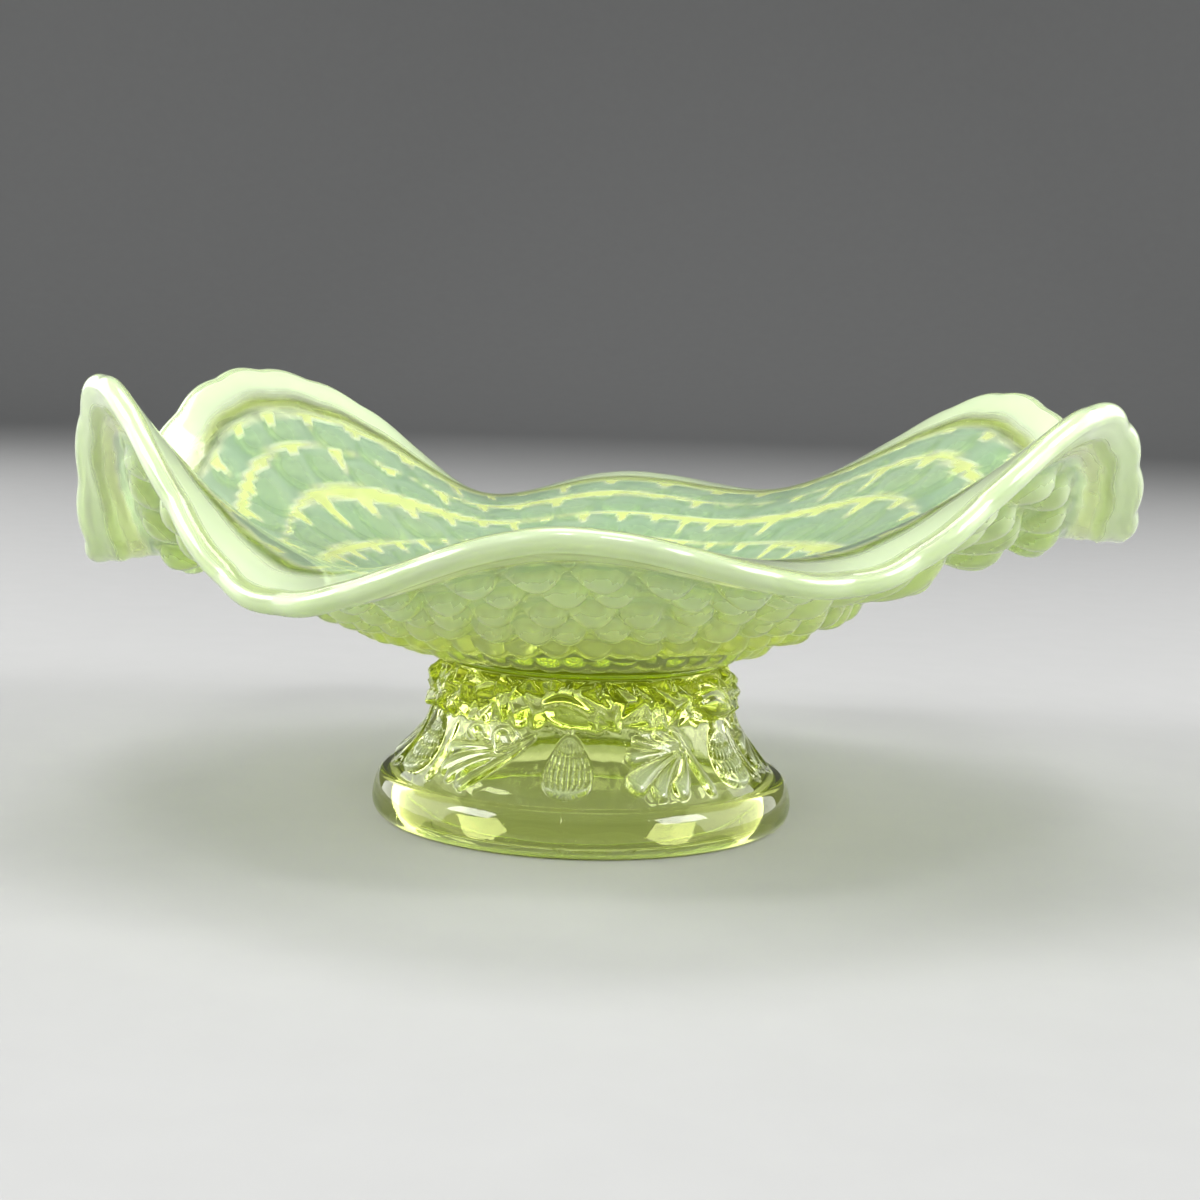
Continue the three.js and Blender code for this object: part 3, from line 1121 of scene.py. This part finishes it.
@dataclass
class SpreadingFoot:
    """The hollow foot: a rounded flange, a skirt with shells and seaweed, and a rockwork stem.

    Attributes:
        neck_radius: Radius at the top of the stem.
        flange_bulge: Height of the widest point.
        flange_height: Height of the ring line.
        shoulder: How far the flange draws in to the ring line.
        rest_inset: How far the rest ring keeps inside the widest point.
        rest_width: Width of the rest ring.
        ring_line: Step at the ring line.
        skirt_top: Height of the top of the skirt.
        skirt_step: How far the top of the skirt stands out from the neck.
        skirt_sag: Hollow of the skirt's flank.
        stem_swell: Swell of the stem.
        wall: Wall of the foot.
        roof: Glass above the hollow.
        seam_rise: Height of the mould seams.
        silver: How milky the crowns of the relief are.
        base_highlight_height: Height of the bright line round the base, a painted highlight.
        base_highlight_milk: How milky that painted highlight is; its milk is bright lime.
        shell_base: Height of the shells' lowest point.
        spray_middle: Height of the sprays' middle.
        spray_rise: Height of a spray as a share of its fingers' half width.
        snail_middle: Height of the snails' middle.
        shell: The shell, six times round.
        snail: The snail, five times round.
        rock: The rockwork.
        columns: Columns of the mesh.
        flange_rows: Rings of the mesh up to the ring line.
        relief_rows: Rings of the mesh above it.
        inner_rows: Rings of the mesh in the hollow.
    """

    neck_radius: float = 32.0
    flange_bulge: float = 3.6
    flange_height: float = 10.5
    shoulder: float = 3.3
    rest_inset: float = 2.5
    rest_width: float = 3.5
    ring_line: float = 0.8
    skirt_top: float = 26.0
    skirt_step: float = 3.1
    skirt_sag: float = 1.6
    stem_swell: float = 1.5
    wall: float = 4.6
    roof: float = 5.5
    seam_rise: float = 0.32
    silver: float = 0.5
    base_highlight_height: float = 2.4
    base_highlight_milk: float = 0.8
    shell_base: float = 12.2
    spray_middle: float = 17.8
    spray_rise: float = 0.75
    snail_middle: float = 31.0
    shell: CockleShell = field(default_factory=CockleShell)
    snail: SeaSnail = field(default_factory=SeaSnail)
    rock: Rockwork = field(default_factory=Rockwork)
    columns: int = 940
    flange_rows: int = 14
    relief_rows: int = 70
    inner_rows: int = 8

    def __post_init__(self) -> None:
        """Take the foot's place and outer sizes from the frame."""
        low, high = node_span(Node.FOOT)
        self.axis = (low + high)[:2] / 2.0
        self.flange_radius = (high[0] - low[0]) / 2.0
        self.height = high[2]

    def skirt(self, climb: Array) -> tuple[Array, Array]:
        """The flank of the skirt.

        Args:
            climb: 0 at its foot, 1 at its top.

        Returns:
            Its radius and its height.
        """
        foot_of_skirt = self.flange_radius - self.shoulder - self.ring_line
        top_of_skirt = self.neck_radius + self.skirt_step
        sag = self.skirt_sag * np.sin(climb * math.pi)
        height = self.flange_height + (self.skirt_top - self.flange_height) * climb
        return foot_of_skirt + (top_of_skirt - foot_of_skirt) * climb - sag, height

    def outline(self) -> Array:
        """Radius and height of the foot's outer outline, from the rest ring up to the neck.

        Returns:
            Points, closer together where there is relief.
        """
        quarter = np.linspace(0.0, math.pi / 2.0, 40)
        rest = self.flange_radius - self.rest_inset
        heel_z = self.flange_bulge * (1 - np.cos(quarter))
        heel = np.stack([rest + self.rest_inset * np.sin(quarter), heel_z], 1)
        drop = self.flange_height - self.flange_bulge
        shoulder_r = self.flange_radius - self.shoulder * (1 - np.cos(quarter))
        shoulder = np.stack([shoulder_r, self.flange_bulge + drop * np.sin(quarter) ** 1.15], 1)
        climb = np.linspace(0.0, 1.0, 80)
        skirt = np.stack(self.skirt(climb), 1)
        swell = self.stem_swell * np.sin(climb * math.pi)
        stem_r = self.neck_radius + self.skirt_step * (1.0 - climb) + swell
        stem = np.stack([stem_r, self.skirt_top + (self.height - self.skirt_top) * climb], 1)
        points = np.concatenate([heel, shoulder[1:], skirt, stem[1:]])
        gaps = np.hypot(*np.diff(points, axis=0).T)
        travelled = np.concatenate([[0.0], np.cumsum(gaps)])
        ring_line = np.interp(self.flange_height, points[:, 1], travelled)
        flange = np.linspace(0.0, ring_line, self.flange_rows, endpoint=False)
        rest_of_foot = np.linspace(ring_line, travelled[-1], self.relief_rows)
        rows = np.concatenate([flange, rest_of_foot])
        return np.stack([np.interp(rows, travelled, points[:, axis]) for axis in (0, 1)], 1)

    def relief(self, turn: Array, radius: Array, height: Array) -> Array:
        """Everything moulded on the outside of the foot.

        Args:
            turn: Share of a full turn.
            radius: Radius of the outline at each point.
            height: Height of the outline at each point.

        Returns:
            Heights in millimetres.
        """
        on_skirt = smooth_step(self.flange_height + 0.6, self.flange_height + 1.4, height)
        on_skirt = on_skirt * smooth_step(self.skirt_top + 1.0, self.skirt_top, height)
        raised = np.zeros(np.broadcast(turn, radius).shape)
        for sixth in range(SHELLS):
            front = 0.75 + sixth / 6.0
            across = wrapped(turn - front, 1.0) * TURN * radius
            raised = np.maximum(raised, self.shell.relief(across, height - self.shell_base))
            spray = RIGHT_SPRAY if sixth % 2 == 0 else LEFT_SPRAY
            middle = front + 1.0 / 12.0
            sideways = wrapped(turn - middle, 1.0) * TURN * radius
            for stroke in spray:
                finger = stroke.relief(sideways, height - self.spray_middle)
                raised = np.maximum(raised, self.spray_rise * finger)
        raised = raised * on_skirt

        stem_length = TURN * (self.neck_radius + self.skirt_step)
        on_stem = smooth_step(self.skirt_top - 0.8, self.skirt_top + 0.4, height)
        on_stem = on_stem * smooth_step(self.height, self.height - 0.8, height)
        span = self.height - self.skirt_top
        rocks = self.rock.relief(turn * stem_length, height - self.skirt_top, stem_length, span)
        snails = np.zeros_like(rocks)
        for sixth in range(SNAILS):
            across = wrapped(turn - 0.75 - sixth / 6.0, 1.0) * TURN * radius
            snails = np.maximum(snails, self.snail.relief(across, height - self.snail_middle))
        stem = np.maximum(rocks, snails) * on_stem

        seam = np.zeros_like(rocks)
        for third in range(SEAMS):
            across = wrapped(turn - 0.75 - third / 3.0, 1.0) * TURN * radius
            seam = np.maximum(seam, self.seam_rise * np.exp(-((across / 0.3) ** 2)))
        return np.maximum(raised, seam * smooth_step(1.0, 3.0, height)) + stem

    def build(self, finish: UraniumGlass) -> bpy.types.Object:
        """Build the foot.

        Args:
            finish: Its glass.

        Returns:
            The foot.
        """
        turn = np.arange(self.columns) / self.columns
        outline = self.outline()
        forward = np.gradient(outline, axis=0)
        outward = unit(np.stack([forward[:, 1], -forward[:, 0]], 1))
        radius, height = outline[:, :1], outline[:, 1:]
        raised = self.relief(turn[None, :], radius, height)
        outer = polar(radius + raised * outward[:, :1], turn, height + raised * outward[:, 1:])

        hollow_top = self.height - self.roof
        top_of_skirt = self.neck_radius + self.skirt_step
        flank_r, flank_z = self.skirt(np.linspace(1.0, 0.0, self.inner_rows)[:, None])
        hollow = polar(flank_r - self.wall, turn, flank_z)
        swing = np.linspace(0.0, math.pi / 2.0, 8)[:, None]
        dome_drop = hollow_top - self.skirt_top
        corner = top_of_skirt - self.wall - dome_drop
        dome = polar(corner + dome_drop * np.sin(swing), turn, hollow_top - dome_drop * (1 - np.cos(swing)))
        ceiling = polar(np.array([corner * 0.3, corner * 0.7])[:, None], turn, hollow_top)
        rest = self.flange_radius - self.rest_inset - self.rest_width
        bevel = polar(np.array([rest - 0.5, rest])[:, None], turn, np.array([0.7, 0.0])[:, None])
        neck = self.neck_radius
        top = polar(np.array([neck * 0.95, neck * 0.4])[:, None], turn, self.height)
        rings = np.concatenate([ceiling, dome[:-1], hollow, bevel, outer, top])
        rings[..., :2] += self.axis
        opal, lime = np.zeros((2, *rings.shape[:2]))
        first = rings.shape[0] - outer.shape[0] - top.shape[0]
        on_outer = slice(first, first + outer.shape[0])
        crowns = smooth_step(0.8, 1.5, raised) * smooth_step(self.skirt_top + 1.0, self.skirt_top, height)
        # Painted highlight: a band of bright lime milk round the base of the foot stands in for the bright
        # line that light makes along the glass's lower edge.
        base = smooth_step(self.base_highlight_height, 0.0, height)
        opal[on_outer] = np.maximum(self.silver * crowns, self.base_highlight_milk * base)
        lime[on_outer] = -base
        return Skin(rings, opal, lime).build("spreading_foot", Slot.FOOT, Node.FOOT, finish.material())


# ------------------------------------------------------------ studio


@dataclass
class SoftWindow:
    """A soft rectangular light that looks at the dish.

    Attributes:
        name: Name of the light.
        azimuth: Degrees from the front towards the right.
        elevation: Degrees above the dish.
        distance: Distance from the dish, in metres.
        width: Width in metres.
        height: Height in metres.
        power: Power in watts.
    """

    name: str
    azimuth: float
    elevation: float
    distance: float
    width: float
    height: float
    power: float

    def build(self, target: Vector) -> bpy.types.Object:
        """Hang the light.

        Args:
            target: Point that it looks at.

        Returns:
            The light.
        """
        around = math.radians(self.azimuth)
        up = math.radians(self.elevation)
        away = Vector((math.sin(around) * math.cos(up), -math.cos(around) * math.cos(up), math.sin(up)))
        lamp = bpy.data.lights.new(self.name, "AREA")
        lamp.shape = "RECTANGLE"
        lamp.size = self.width
        lamp.size_y = self.height
        lamp.energy = self.power
        light = shown(self.name, lamp)
        light.location = target + away * self.distance
        light.rotation_euler = (-away).to_track_quat("-Z", "Y").to_euler()
        return light


@dataclass
class Cove:
    """A round paper floor that turns up into a wall all round, far from the dish.

    Attributes:
        flat_radius: Where the paper starts to turn up, in metres.
        bend: Radius of the turn.
        wall_height: Height of the wall's top.
        columns: Columns of the mesh.
    """

    flat_radius: float = 2.4
    bend: float = 1.0
    wall_height: float = 1.6
    columns: int = 96

    def build(self) -> bpy.types.Object:
        """Lay the floor and raise its wall.

        Returns:
            The cove.
        """
        swing = np.linspace(0.0, math.pi / 2.0, 14)
        bend_r = self.flat_radius + self.bend * np.sin(swing)
        bend_z = self.bend * (1.0 - np.cos(swing))
        radius = np.concatenate([[0.8, 1.6], bend_r, [bend_r[-1]]])
        height = np.concatenate([[0.0, 0.0], bend_z, [self.wall_height]])
        rings = polar(radius[:, None], np.arange(self.columns) / self.columns, height[:, None])
        points = np.concatenate([rings.reshape(-1, 3), [[0.0, 0.0, 0.0]]])
        column = np.arange(self.columns)
        after = (column + 1) % self.columns
        pairs = list(zip(column.tolist(), after.tolist()))
        faces = [(len(points) - 1, a, b) for a, b in pairs]
        for ring in range(len(radius) - 1):
            low, high = ring * self.columns, (ring + 1) * self.columns
            faces += [(low + a, high + a, high + b, low + b) for a, b in pairs]
        mesh = bpy.data.meshes.new("cove")
        mesh.from_pydata(points.tolist(), [], faces)
        mesh.polygons.foreach_set("use_smooth", [True] * len(faces))
        mesh.materials.append(PaleFloor().material())
        cove = shown("cove", mesh)
        return cove


@dataclass
class Studio:
    """Cove, lights, room and camera.

    Attributes:
        camera_distance: Distance of the camera from the foot's axis, in millimetres.
        camera_height: Its height above the floor.
        camera_azimuth: Degrees that it stands to the right of the dish's front.
        aim_azimuth: Direction that it looks along.
        pitch: Degrees that it looks down.
        roll: Degrees that it leans.
        lens: Focal length for a sensor 36 mm wide.
        room: Colour of the room above the cove.
        room_strength: Its brightness.
        windows: The lights.
        cove: The floor and its wall.
    """

    camera_distance: float = 460.0
    camera_height: float = 106.8
    camera_azimuth: float = 4.48
    aim_azimuth: float = 4.1
    pitch: float = 6.93
    roll: float = 1.8
    lens: float = 58.5
    room: Rgb = (0.9, 0.95, 1.0)
    room_strength: float = 0.21
    windows: tuple[SoftWindow, ...] = (
        SoftWindow("left_window", -62.0, 34.0, 1.5, 0.7, 0.6, 17.0),
        SoftWindow("right_window", 66.0, 34.0, 1.5, 0.7, 0.6, 16.0),
        SoftWindow("front_window", 6.0, 56.0, 1.6, 0.34, 0.2, 5.0),
        SoftWindow("left_softbox", -104.0, 20.0, 1.4, 1.8, 1.2, 19.0),
        SoftWindow("right_softbox", 104.0, 20.0, 1.4, 1.8, 1.2, 19.0),
        SoftWindow("overhead", 180.0, 84.0, 1.6, 1.0, 0.6, 12.0),
    )
    cove: Cove = field(default_factory=Cove)

    def surroundings(self) -> None:
        """Light the room above the cove, a little darker overhead."""
        world = bpy.data.worlds.new("studio")
        bpy.context.scene.world = world
        world.use_nodes = True
        tree = world.node_tree
        tree.nodes.clear()
        place = tree.nodes.new("ShaderNodeTexCoord")
        split = tree.nodes.new("ShaderNodeSeparateXYZ")
        fall = tree.nodes.new("ShaderNodeMapRange")
        background = tree.nodes.new("ShaderNodeBackground")
        output = tree.nodes.new("ShaderNodeOutputWorld")
        fall.inputs["To Min"].default_value = self.room_strength
        fall.inputs["To Max"].default_value = self.room_strength * 0.5
        background.inputs["Color"].default_value = (*self.room, 1.0)
        tree.links.new(place.outputs["Generated"], split.inputs[0])
        tree.links.new(split.outputs["Z"], fall.inputs["Value"])
        tree.links.new(fall.outputs["Result"], background.inputs["Strength"])
        tree.links.new(background.outputs[0], output.inputs["Surface"])

    def camera(self, axis: Array) -> bpy.types.Object:
        """Place the camera.

        Args:
            axis: Where the foot's axis stands, in millimetres.

        Returns:
            The camera.
        """
        stand = math.radians(self.camera_azimuth)
        look = math.radians(self.aim_azimuth)
        down = math.radians(self.pitch)
        lean = math.radians(self.roll)
        place = Vector((math.sin(stand), -math.cos(stand), 0.0)) * self.camera_distance
        place += Vector((axis[0], axis[1], self.camera_height))
        flat = math.cos(down)
        forward = Vector((-math.sin(look) * flat, math.cos(look) * flat, -math.sin(down)))
        right = forward.cross(Vector((0.0, 0.0, 1.0))).normalized()
        up = right.cross(forward)
        leant = right * math.cos(lean) + up * math.sin(lean)
        top = up * math.cos(lean) - right * math.sin(lean)
        lens = bpy.data.cameras.new("camera")
        lens.lens = self.lens
        lens.sensor_width = 36.0
        lens.clip_start = 0.01
        camera = shown("camera", lens)
        turned = Matrix((leant, top, -forward)).transposed()
        camera.matrix_world = Matrix.Translation(place * MM) @ turned.to_4x4()
        bpy.context.scene.camera = camera
        return camera

    def build(self, axis: Array) -> None:
        """Set up the whole studio.

        Args:
            axis: Where the foot's axis stands, in millimetres.
        """
        self.camera(axis)
        self.cove.build()
        self.surroundings()
        target = Vector((axis[0] * MM, axis[1] * MM, self.camera_height / 2.0 * MM))
        for window in self.windows:
            window.build(target)
        bpy.context.scene.view_settings.view_transform = "Standard"


# ------------------------------------------------------------ the dish


def main() -> None:
    """Build the studio and the dish, piece by piece."""
    logging.basicConfig(level=logging.INFO, format="%(name)s: %(message)s")
    foot = SpreadingFoot()
    Studio().build(foot.axis)
    foot.build(UraniumGlass("clear_uranium_glass", density=62.0))
    JoiningWafer().build(UraniumGlass("wafer_glass", density=140.0))
    RuffledBowl().build(UraniumGlass("opalescent_uranium_glass", density=45.0))
    log.info("dish built")


if __name__ == "__main__":
    main()
